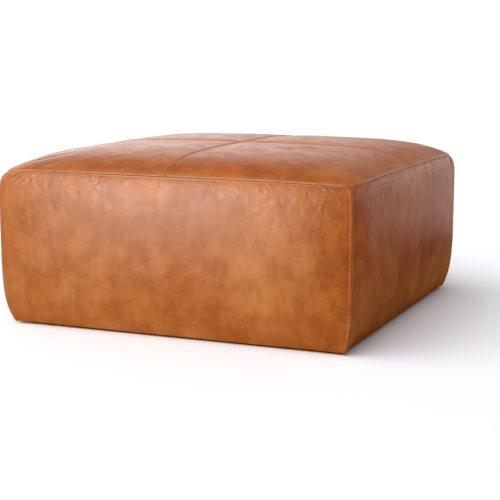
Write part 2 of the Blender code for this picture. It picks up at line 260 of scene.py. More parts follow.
def cover_weights(grids, index, across):
    """Where the cover is held and where it is slack, and a seeded unevenness to start from."""
    held, slack, uneven = np.zeros((3, max(here.max() for here in index) + 1))
    rng = np.random.default_rng(11)
    for grid, here in zip(grids[:4], index):
        for line in (here[0], here[-1], here[:, 0], here[:, -1]):
            held[line] = 1
        below = SEAM - grid[..., 2]
        beside = CORNER_HALF * (1 - np.abs(across)) + np.zeros_like(below)
        loose = np.exp(-((below / 0.045) ** 2)) * (0.4 + 0.6 * np.exp(-((beside / 0.11) ** 2)))
        loose = loose + 0.3 * np.exp(-((beside / 0.03) ** 2))
        loose = loose * np.clip(1 + 0.6 * rng.normal(0, 1, (1, len(across))), 0.1, 2)
        slack[here] = np.maximum(slack[here], np.clip(loose, 0, 1))
        uneven[here] = rng.normal(0, 0.0006, here.shape)
    here, middle = index[4], SIM_ACROSS // 2
    for line in (here[middle, 1:-1], here[1:-1, middle]):
        held[line] = 0.6
    edge = 1 - np.abs(across)
    beside = CORNER_HALF * np.minimum(edge[None], edge[:, None])
    slack[here] = np.maximum(slack[here], 0.4 * np.exp(-((beside / 0.04) ** 2)))
    uneven[here] = rng.normal(0, 0.0004, here.shape)
    return held, slack, uneven


def pressed(start, faces, held, slack):
    """Where the points of this cover come to rest under the pressure of the filling."""
    mesh = bpy.data.meshes.new("blank")
    mesh.from_pydata(start.tolist(), [], faces)
    blank = bpy.data.objects.new("blank", mesh)
    scene = bpy.context.scene
    scene.collection.objects.link(blank)
    weigh(blank, "held", held)
    weigh(blank, "slack", slack)
    cloth = blank.modifiers.new("hide", "CLOTH")
    settings = cloth.settings
    settings.mass = 0.3
    settings.tension_stiffness = settings.compression_stiffness = settings.shear_stiffness = 25
    settings.tension_damping = settings.compression_damping = settings.shear_damping = 5
    settings.bending_stiffness = 1.5
    settings.use_pressure = True
    settings.uniform_pressure_force = 4
    settings.vertex_group_mass = "held"
    settings.vertex_group_shrink = "slack"
    settings.shrink_min, settings.shrink_max = 0.0, -0.05
    settings.effector_weights.gravity = 0
    cloth.collision_settings.use_collision = False
    cloth.point_cache.frame_start, cloth.point_cache.frame_end = 1, SIM_FRAMES
    for step in range(1, SIM_FRAMES + 1):
        scene.frame_set(step)
    result = blank.evaluated_get(bpy.context.evaluated_depsgraph_get()).to_mesh()
    moved = np.empty(start.size, np.float32)
    result.vertices.foreach_get("co", moved)
    bpy.data.objects.remove(blank)
    scene.frame_set(1)
    return moved.reshape(-1, 3)


def pressed_cover():
    """Heights that the filling's pressure adds to four sides and the crown, on sim_lines."""
    across, up = sim_lines()
    side = side_surface(*np.meshgrid(across, up))
    grids = [turned(side, quarter) for quarter in range(4)] + [crown_surface(*np.meshgrid(across, across))]
    # the five grids share the points of their seams
    points = np.concatenate([grid.reshape(-1, 3) for grid in grids])
    places = np.round(points * 1e5).astype(int)
    _, first, welded = np.unique(places, axis=0, return_index=True, return_inverse=True)
    ends = np.cumsum([0] + [grid.shape[0] * grid.shape[1] for grid in grids])
    welded = welded.reshape(-1)
    index = [welded[ends[k] : ends[k + 1]].reshape(grid.shape[:2]) for k, grid in enumerate(grids)]
    flat = points[first]
    held, slack, uneven = cover_weights(grids, index, across)
    start = flat.copy()
    for grid, here in zip(grids, index):
        start[here] = flat[here] + normals_of(grid) * np.where(held[here] > 0.5, 0, uneven[here])[..., None]
    faces = np.concatenate([grid_faces(here) for here in index]).tolist()
    moved = pressed(start, faces, held, slack) - flat
    puffs = []
    for grid, here in zip(grids, index):
        height = (moved[here] * normals_of(grid)).sum(axis=-1)
        # the CAD formula already holds the broad bulge, so only what is local is kept
        height = height - 0.85 * softened(height, 7)
        cap = CROWN_CAP if grid is grids[4] else SIDE_CAP
        puffs.append(cap * np.tanh(0.8 * height / cap))
    return puffs


# ---------- relief of the hide
def smooth_step(values, start, end):
    share = np.clip((values - start) / (end - start), 0, 1)
    return share * share * (3 - 2 * share)


def seam_relief(distance, along, strength):
    """Relief beside a seam, from the distance to it and the place along it."""
    ridge = strength * BAND * (1 - smooth_step(distance, STITCH_ROW + 0.0006, BAND_END))
    gutter = -0.00035 * np.exp(-(((distance - BAND_END - 0.0004) / 0.0011) ** 2))
    pull = 0.35 + 0.65 * (0.5 + 0.5 * np.cos(2 * math.pi * along / PITCH)) ** 2
    row = -0.0006 * np.exp(-(((distance - STITCH_ROW) / 0.0008) ** 2)) * pull
    return ridge, gutter + row


def seams_relief(edges):
    """Relief of a panel from (distance, along, strength) of each of its seams."""
    parts = [seam_relief(*edge) for edge in edges]
    return np.max([part[0] for part in parts], axis=0) + np.min([part[1] for part in parts], axis=0)


def turned_edge():
    """(distance from the seam, depth under the surface) of a hide's edge, from its cut end on."""
    angles = np.linspace(math.pi, 0, 9)
    back = [(ALLOWANCE, 2 * ROLL), (0.6 * ALLOWANCE, 2 * ROLL), (0.3 * ALLOWANCE, 2 * ROLL)]
    roll = [(ROLL * (1 - math.sin(angle)), ROLL * (1 - math.cos(angle))) for angle in angles]
    return back + roll


# distances from a seam of the lines beside it, which hold its ridge, its holes and its gutter
BESIDE = (0.0017, 0.0021, 0.0025, 0.0029, 0.0033, 0.0038, 0.0044, 0.0051, 0.0059, 0.0068, 0.0080)
# a side's mesh stays fine enough for creases this far from its perimeter seam and from its vertical seams
CREASED, CORNERED, FINE = 0.040, 0.064, 0.0013
STEP, ALONG = ((0.0034, 0.0020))  # elsewhere, its rows and columns


def edge_line(end, step, beside=BESIDE):
    """(distances, depths) across a panel from a seam inwards, to its middle or other end."""
    line = turned_edge() + [(place, 0.0) for place in beside]
    distances = [CLEAR + place for place, _ in line]
    depths = [depth for _, depth in line]
    count = max(2, round((end - distances[-1]) / step))
    inner = np.linspace(distances[-1], end, count + 1)[1:]
    return np.concatenate([distances, inner]), np.concatenate([depths, np.zeros(len(inner))])


def wrinkles(across, below, strokes):
    """Relief of folds, each from (x, below) to (x, below), with its half width and its height."""
    relief = np.zeros((len(below), len(across)))
    for (x0, b0), (x1, b1), width, height in strokes:
        reach = 3.5 * width
        columns = np.nonzero((across > min(x0, x1) - reach) & (across < max(x0, x1) + reach))[0]
        rows = np.nonzero((below > min(b0, b1) - reach) & (below < max(b0, b1) + reach))[0]
        if not len(columns) or not len(rows):
            continue
        x, b = np.meshgrid(across[columns], below[rows])
        length = math.hypot(x1 - x0, b1 - b0)
        dx, db = (x1 - x0) / length, (b1 - b0) / length
        along = ((x - x0) * dx + (b - b0) * db) / length
        aside = (x - x0) * -db + (b - b0) * dx + 0.12 * length * (along - 0.5) ** 2 * np.sign(height)
        grown = width * (0.55 + 0.6 * np.clip(along, 0, 1))
        before, after = np.clip(-along, 0, None) / 0.08, np.clip(along - 0.45, 0, None) / 0.33
        fade = np.exp(-(before**2) - after**2)
        groove = 0.45 * min(1.0, 0.002 / width)
        lips = np.exp(-(((np.abs(aside) - 1.9 * grown) / grown) ** 2))
        profile = np.exp(-((aside / grown) ** 2)) - groove * lips
        relief[np.ix_(rows, columns)] += height * profile * fade
    return relief


# ---------- meshes
def new_piece(name, points, faces, material, smooth=True):
    """A piece from its points and a list of faces."""
    mesh = bpy.data.meshes.new(name)
    mesh.from_pydata(points.reshape(-1, 3).tolist(), [], faces)
    if smooth:
        mesh.shade_smooth()
    mesh.materials.append(material)
    made = bpy.data.objects.new(name, mesh)
    bpy.context.scene.collection.objects.link(made)
    return made


# ---------- materials
class Nodes:
    """Short calls that add nodes to one material or world."""

    def __init__(self, owner, place="Object"):
        self.owner, self.tree = owner, owner.node_tree
        self.position = self.add("ShaderNodeTexCoord").outputs[place]

    def add(self, kind, inputs=None, **settings):
        """A node with these settings, and with values or other nodes' outputs joined to its inputs."""
        node = self.tree.nodes.new(kind)
        for key, value in settings.items():
            setattr(node, key, value)
        for name, source in (inputs or {}).items():
            self.join(source, node.inputs[name])
        return node

    def join(self, source, target):
        if isinstance(source, (int, float)):
            target.default_value = source
        elif isinstance(source, tuple):
            target.default_value = (*source, 1.0) if len(source) == 3 and target.type == "RGBA" else source
        else:
            self.tree.links.new(source, target)

    def shade(self, name, source):
        """Joins a value or an output to the Principled shader's input of this name."""
        self.join(source, self.tree.nodes["Principled BSDF"].inputs[name])

    def noise(self, scale, detail=2.0, roughness=0.5, stretch=(1, 1, 1), distortion=0.0):
        mapping = self.add("ShaderNodeMapping", {"Scale": stretch, "Vector": self.position})
        numbers = {"Scale": scale, "Detail": detail, "Roughness": roughness, "Distortion": distortion}
        return self.add("ShaderNodeTexNoise", {"Vector": mapping.outputs[0], **numbers}).outputs[0]

    def cells(self, scale):
        return self.add("ShaderNodeTexVoronoi", {"Vector": self.position, "Scale": scale}).outputs[0]

    def curve(self, value, low, high, to_low=0.0, to_high=1.0):
        inputs = {"Value": value, "From Min": low, "From Max": high, "To Min": to_low, "To Max": to_high}
        return self.add("ShaderNodeMapRange", inputs, interpolation_type="SMOOTHSTEP").outputs[0]

    def math(self, operation, first, second):
        return self.add("ShaderNodeMath", {0: first, 1: second}, operation=operation).outputs[0]

    def mix(self, share, first, second):
        inputs = {"Factor": share, "A": first, "B": second}
        return self.add("ShaderNodeMix", inputs, data_type="RGBA").outputs["Result"]

    def bump(self, height, distance, strength=1.0, after=None):
        inputs = {"Height": height, "Distance": distance, "Strength": strength}
        if after is not None:
            inputs["Normal"] = after
        return self.add("ShaderNodeBump", inputs).outputs[0]

    def attribute(self, name):
        return self.add("ShaderNodeAttribute", attribute_name=name).outputs["Fac"]


def new_material(name, roughness, colour=(0.8, 0.8, 0.8)):
    """The nodes of a new material."""
    made = bpy.data.materials.new(name)
    made.use_nodes = True
    n = Nodes(made)
    n.shade("Base Color", colour)
    n.shade("Roughness", roughness)
    return n


def leather_material():
    n = new_material("tan leather", 0.45)
    clouds = n.curve(n.noise(17, 3, 0.55), 0.32, 0.68)
    patches = n.curve(n.noise(6.5, 2, 0.5), 0.35, 0.65)
    flecks = n.curve(n.noise(95, 4, 0.6), 0.3, 0.75)
    streaks = n.curve(n.noise(42, 3, 0.6, stretch=(1, 1, 0.22), distortion=0.4), 0.42, 0.72)
    colour = n.mix(clouds, (0.430, 0.131, 0.031), (0.560, 0.202, 0.058))
    colour = n.mix(n.math("MULTIPLY", patches, 0.4), colour, (0.400, 0.105, 0.019))
    # the deep colours that the tone attribute mixes in: partly the leather's deeper tone, partly painted
    # shade on the right side, the crown and the front's right end
    golden = n.mix(clouds, (0.298, 0.066, 0.009), (0.412, 0.109, 0.017))
    ruddy = n.mix(clouds, (0.270, 0.046, 0.008), (0.380, 0.077, 0.014))
    deep = n.mix(n.attribute("ruddy"), golden, ruddy)
    colour = n.mix(n.attribute("tone_and_shade"), colour, deep)
    colour = n.mix(n.math("MULTIPLY", flecks, 0.20), colour, (0.580, 0.220, 0.062))
    colour = n.mix(n.math("MULTIPLY", streaks, 0.22), colour, (0.270, 0.060, 0.010))
    # scars: thin wandering lines where one noise crosses its middle
    wander = n.math("ABSOLUTE", n.math("SUBTRACT", n.noise(9, 2, 0.5, distortion=1.2), 0.5), 0)
    scar = n.math("MULTIPLY", n.curve(wander, 0.0, 0.006, 1, 0), n.curve(n.noise(4.4, 1), 0.58, 0.66))
    colour = n.mix(n.math("MULTIPLY", scar, 0.12), colour, (0.68, 0.37, 0.18))
    # rubbed pale on ridges, and painted shade: dark in ditches, creases, stitch holes and turned edges
    wear_and_shade = n.attribute("relief")
    colour = n.mix(n.curve(wear_and_shade, 0.52, 0.80, 0, 0.45), colour, (0.74, 0.40, 0.19))
    colour = n.mix(n.curve(wear_and_shade, 0.10, 0.48, 0.85, 0), colour, (0.200, 0.045, 0.010))
    n.shade("Base Color", colour)
    smooth = n.curve(n.noise(34, 3, 0.6), 0.3, 0.7, 0.31, 0.43)
    n.shade("Roughness", n.math("ADD", smooth, n.curve(wear_and_shade, 0.15, 0.45, 0.35, 0)))
    n.shade("IOR", 1.33)
    n.shade("Sheen Weight", 0.02)
    n.shade("Sheen Roughness", 0.5)
    creases = n.bump(n.noise(60, 3, 0.55), 0.0008, 0.35)
    pebbles = n.bump(n.cells(420), 0.00035, 0.45, creases)
    n.shade("Normal", n.bump(n.noise(900, 2), 0.0002, 0.3, pebbles))
    return n.owner


def thread_material():
    n = new_material("waxed thread", 0.5)
    n.shade("Base Color", n.mix(n.noise(300, 2), (0.62, 0.29, 0.13), (0.78, 0.43, 0.24)))
    n.shade("Normal", n.bump(n.noise(1500, 2), 0.0002, 0.6))
    return n.owner


LEATHER, WAXED = leather_material(), thread_material()


# ---------- panels
def side_rows():
    """Row places up a side: flange rows, fold rows, then (distance from the top seam, depth)."""
    height = SEAM - BASE
    creased = np.arange(BESIDE[-1] + FINE, CREASED, FINE)
    distances, depths = edge_line(height - FOLD, STEP, (*BESIDE, *creased))
    return distances[::-1], depths[::-1]


# the gathers seen beside the front's two upper corners, as wrinkles takes them
CORNER_FOLDS = (
    ((0.3885, 0.0070), (0.3985, 0.0210), 0.0040, 0.0007),
    ((0.4110, 0.0065), (0.4200, 0.0170), 0.0019, -0.0024),
    ((0.3985, 0.0065), (0.4030, 0.0150), 0.0017, -0.0019),
    ((0.3760, 0.0070), (0.3850, 0.0190), 0.0020, -0.0008),
    ((0.4230, 0.0065), (0.4320, 0.0185), 0.0017, -0.0018),
    ((-0.3940, 0.0080), (-0.4280, 0.0300), 0.0018, -0.0016),
    ((-0.3880, 0.0110), (-0.4220, 0.0390), 0.0020, 0.0015),
    ((-0.3870, 0.0170), (-0.4150, 0.0450), 0.0016, -0.0011),
    ((-0.4080, 0.0080), (-0.4330, 0.0220), 0.0014, 0.0010),
    ((-0.3560, 0.0100), (-0.3930, 0.0500), 0.0046, 0.0010),
)


def side_strokes(quarter, rng):
    """A side's folds: gathers beside its upper corners, and short ones all along under the seam."""
    strokes = list(CORNER_FOLDS) if quarter == 0 else []
    for side in (-1, 1) if quarter else ():
        for _ in range(5):
            x0 = side * rng.uniform(0.350, 0.425)
            x1 = x0 + side * rng.uniform(0.010, 0.040)
            b0, b1 = rng.uniform(0.008, 0.014), rng.uniform(0.020, 0.055)
            width = rng.uniform(0.0016, 0.0045)
            height = rng.choice([-1, 1]) * rng.uniform(0.0004, 0.0010)
            strokes.append(((x0, b0), (side * min(abs(x1), 0.438), b1), width, height))
    x = -0.40
    while x < 0.40:
        x += rng.uniform(0.010, 0.042)
        lean = rng.uniform(-0.008, 0.008) + 0.012 * x
        b0, b1 = rng.uniform(0.006, 0.010), rng.uniform(0.016, 0.036)
        width = rng.uniform(0.0020, 0.0045)
        height = rng.choice([-1, 1]) * rng.uniform(0.0001, 0.00045)
        strokes.append(((x, b0), (x + lean, b1), width, height))
    return strokes


def crown_strokes(quarter, rng):
    """A quarter's folds, as (along y, along x): a few drawn ones, after those that are seen on the crown."""
    strokes = []
    for _ in range(5):
        x0, y0, way = rng.uniform(0.05, 0.38), rng.uniform(0.05, 0.38), rng.uniform(0, math.pi)
        length = rng.uniform(0.02, 0.06)
        width, height = rng.uniform(0.002, 0.004), rng.uniform(-0.0006, 0.0005)
        end = (x0 + length * math.cos(way), y0 + length * math.sin(way))
        strokes.append(((x0, y0), end, width, height))
    if quarter == 3:
        strokes = [((-y0, x0), (-y1, x1), w, h) for (x0, y0), (x1, y1), w, h in TOP_CREASES] + strokes
    return strokes


def standing_out(seams, folds, ripples, sunk):
    """How far each point stands out, for its colour: paler on ridges as rubbed wear, darker as painted shade
    in ditches, creases and turned edges, where creases weigh more than ridges.
    """
    return seams + np.where(folds < 0, 1.0, 0.45) * folds + 0.5 * ripples - 0.9 * sunk


def finish_panel(name, node, points, tone_and_shade, ruddy, height_at):
    """The panel as a piece. Its relief attribute runs from 0 in the ditches over 0.5 to 1 on the ridges, and
    the leather darkens towards 0 as painted shade. Its tone attribute deepens the colour, partly as tone and
    partly as painted light and shade.
    """
    piece = new_piece(name, points, grid_faces(numbered(points.shape[:2])).tolist(), LEATHER)
    layers = {"relief": 0.5 + height_at / 0.004, "tone_and_shade": tone_and_shade, "ruddy": np.full(height_at.shape, ruddy)}
    for label, values in layers.items():
        layer = piece.data.attributes.new(label, "FLOAT", "POINT")
        layer.data.foreach_set("value", np.clip(values, 0, 1).reshape(-1).astype(np.float32))
    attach(piece, "root")
    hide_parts(node)
    return piece


# how deep each side's colour is: all over, added towards its right end, and added at its foot. The right
# side's depth all over and the front's depth at its right end are painted shade, and the paler foot of the
# front and the right side is painted light
SIDE_TONE_AND_SHADE = {
    "front": (0.08, 0.85, -0.10),
    "right": (0.74, 0.0, -0.70),
    "back": (0.25, 0.2, 0.0),
    "left": (0.15, 0.1, 0.0),
}
# how deep each crown quarter's colour is: partly the leather's deeper tone, partly painted shade that darkens
# the top where the key lights it most
CROWN_TONE_AND_SHADE = {"back_right": 0.90, "back_left": 0.80, "front_left": 0.90, "front_right": 1.00}
# a hide's slow waves and its ripples, as the size of a cell and a height, and the size of its blotches
SIDE_WAVES, CROWN_WAVES = (0.050, 0.00024), (0.055, 0.0003)
SIDE_RIPPLES, CROWN_RIPPLES = (0.014, 0.00007), (0.015, 0.00007)
BLOTCH = 0.11


def blotches(rng, along, across):
    """Slow blotches over a hide, up and down from 0."""
    return undulation(rng, BLOTCH, 1.0)(along + 0.05, across + 0.05)


def side_grid():
    """t and depth of the columns, and distance from the top seam and depth of the rows."""
    cornered = np.arange(BESIDE[-1] + FINE, CORNERED, FINE)
    distances, depths = edge_line(CORNER_HALF, ALONG, (*BESIDE, *cornered))
    t = -1 + distances / CORNER_HALF
    t = np.concatenate([t, -t[-2::-1]])
    depth_across = np.concatenate([depths, depths[-2::-1]])
    below, depth_up = side_rows()
    return t, depth_across, below, depth_up


def foot_rows(t, first):
    """The rows of a side that lie under the frame and bend up to its first upright row."""
    foot = side_surface(t, 0.0)
    inner = np.stack([FLANGE_IN * t, np.full_like(t, -FLANGE_IN), np.full_like(t, BASE)], axis=-1)
    near = foot + (inner - foot) * FOLD / np.linalg.norm(inner - foot, axis=-1, keepdims=True)
    bend = (0.17, 0.34, 0.5, 0.66, 0.83)
    fold = [(1 - k) ** 2 * near + 2 * k * (1 - k) * foot + k * k * first for k in bend]
    return np.array([inner + (near - inner) * k for k in (0, 0.03, 0.35, 0.7, 1)] + fold)


def build_sides(puffs):
    t, depth_across, below, depth_up = side_grid()
    share = 1 - below / (SEAM - BASE)
    tt, ss = np.broadcast_arrays(t[None], side_share(t, below))
    upper = side_surface(tt, ss)
    upper_normal = surface_normals(side_surface, tt, ss)
    lower = foot_rows(t, upper[0])
    base = np.concatenate([lower, upper])
    turned_under = len(lower)
    climb = np.gradient(base[: turned_under + 2], axis=0)[:turned_under]
    lower_normal = unit(np.cross(np.array([1.0, 0.0, 0.0]), climb))
    normal = np.concatenate([lower_normal, upper_normal])
    rise = np.concatenate([np.full(turned_under, SEAM - BASE), below])
    sunk = depth_across[None] + np.concatenate([np.zeros(turned_under), depth_up])[:, None]
    beside = np.minimum(CORNER_HALF * (1 + t), CORNER_HALF * (1 - t))
    from_side, from_top = np.broadcast_arrays(beside, rise[:, None])
    run_across = np.broadcast_to(CORNER_HALF * t, from_top.shape)
    seams = seams_relief([(from_side, SEAM - from_top, UPRIGHT), (from_top, run_across, 1.0)])
    across, up = sim_lines()
    rows = np.interp(np.concatenate([np.zeros(turned_under), share]), up, np.arange(len(up)))
    columns = np.interp(t, across, np.arange(len(across)))
    for quarter, name in enumerate(SIDES):
        rng = np.random.default_rng(100 + quarter)
        puff = spread(puffs[quarter], rows, columns)
        waves = undulation(rng, *SIDE_WAVES)(rise + 0.05, CORNER_HALF * (1 + t))
        ripples = undulation(rng, *SIDE_RIPPLES)(rise + 0.05, CORNER_HALF * (1 + t))
        folds = wrinkles(CORNER_HALF * t, rise, side_strokes(quarter, rng))
        calm = smooth_step(beside, 0.002, 0.02)[None] * smooth_step(rise, 0.001, 0.012)[:, None]
        calm = calm * (1 - 0.9 * (rise[:, None] > SEAM - BASE - 0.002))
        relief = seams + puff + calm * (waves + ripples) + folds * smooth_step(beside, 0.003, 0.010)[None]
        relief = relief + swell(t[None], rise[:, None])
        # paler where the hide stands out as rubbed wear, darker where it sinks as painted shade
        wear_and_shade = standing_out(seams, folds, ripples, sunk)
        points = turned(base + normal * (relief - sunk)[..., None], quarter)
        tone_and_shade_all_over, tone_and_shade_to_right, painted_light_to_foot = SIDE_TONE_AND_SHADE[name]
        # the blotches are the leather's own tone; the right side's depth all over is painted shade
        tone_and_shade = tone_and_shade_all_over + 0.25 * blotches(rng, rise, CORNER_HALF * (1 + t))
        # towards the front's right end the colour deepens as painted shade
        tone_and_shade = tone_and_shade + tone_and_shade_to_right * smooth_step(CORNER_HALF * t, 0.24, 0.42)[None]
        # at the foot of the front and the right side the colour pales as painted light
        tone_and_shade = tone_and_shade + painted_light_to_foot * smooth_step(rise, 0.15, 0.36)[:, None]
        hide = finish_panel(f"hide_{name}", f"side_panel_{name}", points, tone_and_shade, float(name == "right"), wear_and_shade)


def rim_marks(step):
    """u and depth of a quarter's columns from the cross seam to the rim."""
    cross, cross_depth = edge_line(CORNER_HALF - 0.010, step)
    u_cross = cross / CORNER_HALF
    # near the rim a column's place is a share of the climb at the middle of a side
    shrink = 1 - np.concatenate([[0], np.geomspace(1e-7, 0.2, 1500)])
    climbed = run_lengths(crown_surface(shrink, np.zeros_like(shrink))[None], 1)[0]
    edge = turned_edge()
    u_edge = [float(np.interp(CLEAR + place, climbed, shrink)) for place, _ in edge]
    depth_edge = [depth for _, depth in edge]
    beside = list(BESIDE) + [0.0094, 0.0110, 0.0128, 0.0148]
    u_beside = [float(np.interp(CLEAR + place, climbed, shrink)) for place in beside]
    keep = u_cross < min(u_beside) - 0.5 * step / CORNER_HALF
    u = np.concatenate([u_cross[keep], u_beside[::-1], u_edge[::-1]])
    depth = np.concatenate([cross_depth[keep], np.zeros(len(beside)), depth_edge[::-1]])
    return u, depth


RIM_PLACES = 1 - np.concatenate([[0], np.geomspace(1e-7, 0.2, 400)])


def rim_lengths(v):
    """Distances from the rim to RIM_PLACES, down the rows, at each v along the rim."""
    return run_lengths(crown_surface(*np.meshgrid(RIM_PLACES, v, indexing="ij")), 0)


def rim_distance(u, v):
    """Distance from the rim, over the surface, of the places u at each v."""
    lengths = rim_lengths(v)
    return np.array([np.interp(1 - u, 1 - RIM_PLACES, lengths[:, at]) for at in range(len(v))])


def rim_inset(v, distance):
    """Places u that lie a distance over the surface from the rim."""
    lengths = rim_lengths(v)
    return np.array([np.interp(distance, lengths[:, at], RIM_PLACES) for at in range(len(v))])


# the creases seen on the crown's front right quarter, as (x, y) to (x, y), half width and height
TOP_CREASES = (
    ((0.160, -0.1680), (0.206, -0.1490), 0.0055, -0.0024),
    ((0.214, -0.1300), (0.256, -0.1120), 0.0055, -0.0022),
    ((0.190, -0.1720), (0.225, -0.1600), 0.0030, 0.0005),
)


def build_crown(puff):
    u, depth = rim_marks(ALONG * 1.25)
    uu, vv = np.meshgrid(u, u)
    base = crown_surface(uu, vv)
    normal = surface_normals(crown_surface, uu, vv)
    along_x, along_y = run_lengths(base, 1), run_lengths(base, 0)
    first, last = np.nonzero(depth == 0)[0][[0, -1]]
    offset = rim_distance(u[last], u)
    to_rim_x = np.abs(along_x - along_x[:, [last]]) + offset[:, None]
    to_rim_y = np.abs(along_y - along_y[[last]]) + offset[None]
    from_cross_x = np.abs(along_x - along_x[:, [first]]) + ROLL
    from_cross_y = np.abs(along_y - along_y[[first]]) + ROLL
    edges = [(from_cross_x, from_cross_y, CROSS), (from_cross_y, from_cross_x, CROSS)]
    edges += [(to_rim_x, CORNER_HALF * vv, 1.0), (to_rim_y, CORNER_HALF * uu, 1.0)]
    seams = seams_relief(edges)
    # waves and folds die out beside every seam
    calm = smooth_step(np.min([distance for distance, _, _ in edges], axis=0), 0.002, 0.02)
    sunk = depth[None] + depth[:, None]
    across, _ = sim_lines()
    places = np.interp(u, across, np.arange(len(across)))
    flat = CORNER_HALF * u
    for quarter, name in enumerate(QUARTERS):
        rng = np.random.default_rng(200 + quarter)
        lift = spread(np.rot90(puff, quarter), places, places)  # the puff as this quarter sees it
        waves = undulation(rng, *CROWN_WAVES)(flat + 0.02, flat + 0.02)
        ripples = undulation(rng, *CROWN_RIPPLES)(flat + 0.02, flat + 0.02)
        folds = wrinkles(flat, flat, crown_strokes(quarter, rng))
        relief = seams + lift + calm * (waves + ripples + folds)
        # paler where the hide stands out as rubbed wear, darker where it sinks as painted shade
        wear_and_shade = standing_out(seams, folds, ripples, sunk)
        points = turned(base + normal * (relief - sunk)[..., None], quarter)
        # the crown's deep colour is partly its tone, partly painted shade
        tone_and_shade = CROWN_TONE_AND_SHADE[name] + 0.25 * blotches(rng, flat, flat)
        hide = finish_panel(f"hide_{name}", f"top_panel_{name}", points, tone_and_shade, 0.0, wear_and_shade)


# ---------- stitches
def stitch_mesh(centres, ways, normals, thread):
    """Points and faces of stitches: each a thread that rises over the hide and dives in at both ends."""
    places = np.array([-0.5, -0.44, -0.25, 0.0, 0.25, 0.44, 0.5])
    lifts = np.array([-0.75, -0.25, 0.18, 0.26, 0.18, -0.25, -0.75]) * 0.001
    sizes = np.array([0.55, 0.9, 1.0, 1.0, 1.0, 0.9, 0.55]) * thread
    around = np.arange(6) * math.pi / 3
    sideways = np.cross(ways, normals)
    count, rings = len(centres), len(places)
    along = ways[:, None] * (places * STITCH)[None, :, None]
    spine = centres[:, None] + along + normals[:, None] * lifts[None, :, None]
    ring = sideways[:, None, None] * np.cos(around)[None, None, :, None]
    ring = ring + 0.8 * normals[:, None, None] * np.sin(around)[None, None, :, None]
    points = spine[:, :, None] + ring * sizes[None, :, None, None]
    index = np.arange(count * rings * 6).reshape(count, rings, 6)
    after = np.roll(index, -1, axis=2)
    quads = np.stack([index[:, :-1], index[:, 1:], after[:, 1:], after[:, :-1]], axis=-1).reshape(-1, 4)
    caps = [list(end) for one in index for end in (one[0], one[-1][::-1])]
    return points.reshape(-1, 3), quads.tolist() + [list(map(int, cap)) for cap in caps]


def stitch_row(line, normal, first=0.5):
    """Stitches one PITCH apart along a fine line of points with normals: centres, ways and normals."""
    run = run_lengths(line[None], 1)[0]
    marks = np.arange(first * PITCH, run[-1] - 0.3 * PITCH, PITCH)

    def along(values, shift):
        return np.stack([np.interp(marks + shift, run, values[:, axis]) for axis in range(3)], axis=-1)

    back, front = along(line, -0.0012), along(line, 0.0012)
    upright = unit(along(normal, 0.0))
    way = unit(front - back)
    upright = unit(upright - way * (upright * way).sum(axis=-1, keepdims=True))
    return 0.5 * (back + front), way, upright


def sew(name, rows, thread):
    """All the stitches of these rows as one piece."""
    meshes = [stitch_mesh(*row, thread) for row in rows]
    points = np.concatenate([mesh[0] for mesh in meshes])
    faces, start = [], 0
    for mesh_points, mesh_faces in meshes:
        faces += [[start + corner for corner in face] for face in mesh_faces]
        start += len(mesh_points)
    made = new_piece(name, points, faces, WAXED)
    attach(made, "root")


def stitch_level(strength):
    """The hide's height over the CAD surface between two stitch holes."""
    return strength * BAND - 0.0002


def sewn(surface, first, second, level, start=0.5):
    """Stitches along a line of places on a surface, this high over it."""
    line, normal = surface(first, second), surface_normals(surface, first, second)
    return stitch_row(line + normal * np.reshape(level, (-1, 1)), normal, start)


def sew_cover():
    beside = CLEAR + STITCH_ROW
    inset = beside / CORNER_HALF
    # along the top of each side, between its vertical seams
    count = math.floor(CORNER_HALF * (1 - 1.6 * inset) / PITCH)
    x = np.arange(-count, count + 1) * PITCH / CORNER_HALF
    fine = np.linspace(x[0], x[-1], 1600)
    share = side_share(fine, np.array([beside]))[0]
    lower = sewn(side_surface, fine, share, stitch_level(1.0) + swell(fine, beside))
    # up each side of a vertical seam
    low = math.ceil((BASE + 0.010) / PITCH) * PITCH
    rise = np.linspace(low - BASE, SEAM - BASE - 0.006, 700)
    uprights = []
    for side in (-1, 1):
        t = np.full_like(rise, side * (1 - inset))
        level = stitch_level(UPRIGHT) + swell(t, SEAM - BASE - rise)
        uprights.append(sewn(side_surface, t, rise / (SEAM - BASE), level))
    # round the crown, beside its rim, and along both sides of its two cross seams
    v = np.arange(PITCH, CORNER_HALF * (1 - 1.6 * inset), PITCH) / CORNER_HALF
    fine = np.linspace(v[0], v[-1], 800)
    rim = rim_inset(fine, beside)
    upper = [sewn(crown_surface, *places, stitch_level(1.0)) for places in ((rim, fine), (fine, rim))]
    shoulder = 1 - np.geomspace(1, 1e-5, 1500) * (1 - 1e-3)
    shoulder = shoulder[shoulder < float(rim_inset(np.array([0.0]), 0.006)[0])]
    seam = np.full_like(shoulder, inset)
    pairs = ((shoulder, seam), (seam, shoulder))
    cross = [sewn(crown_surface, *places, stitch_level(CROSS), 1.0) for places in pairs]

    def all_round(rows):
        return [tuple(turned(part, quarter) for part in row) for quarter in range(4) for row in rows]

    sew("topstitch_lower", all_round([lower]), THREAD)
    sew("topstitch_upper", all_round(upper), THREAD)
    sew("topstitch_uprights", all_round(uprights), 0.8 * THREAD)
    sew("topstitch_cross", all_round(cross), 0.85 * THREAD)


# ---------- underside
COVER_LOW, COVER_HIGH = (np.array(corner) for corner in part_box("dust_cover"))


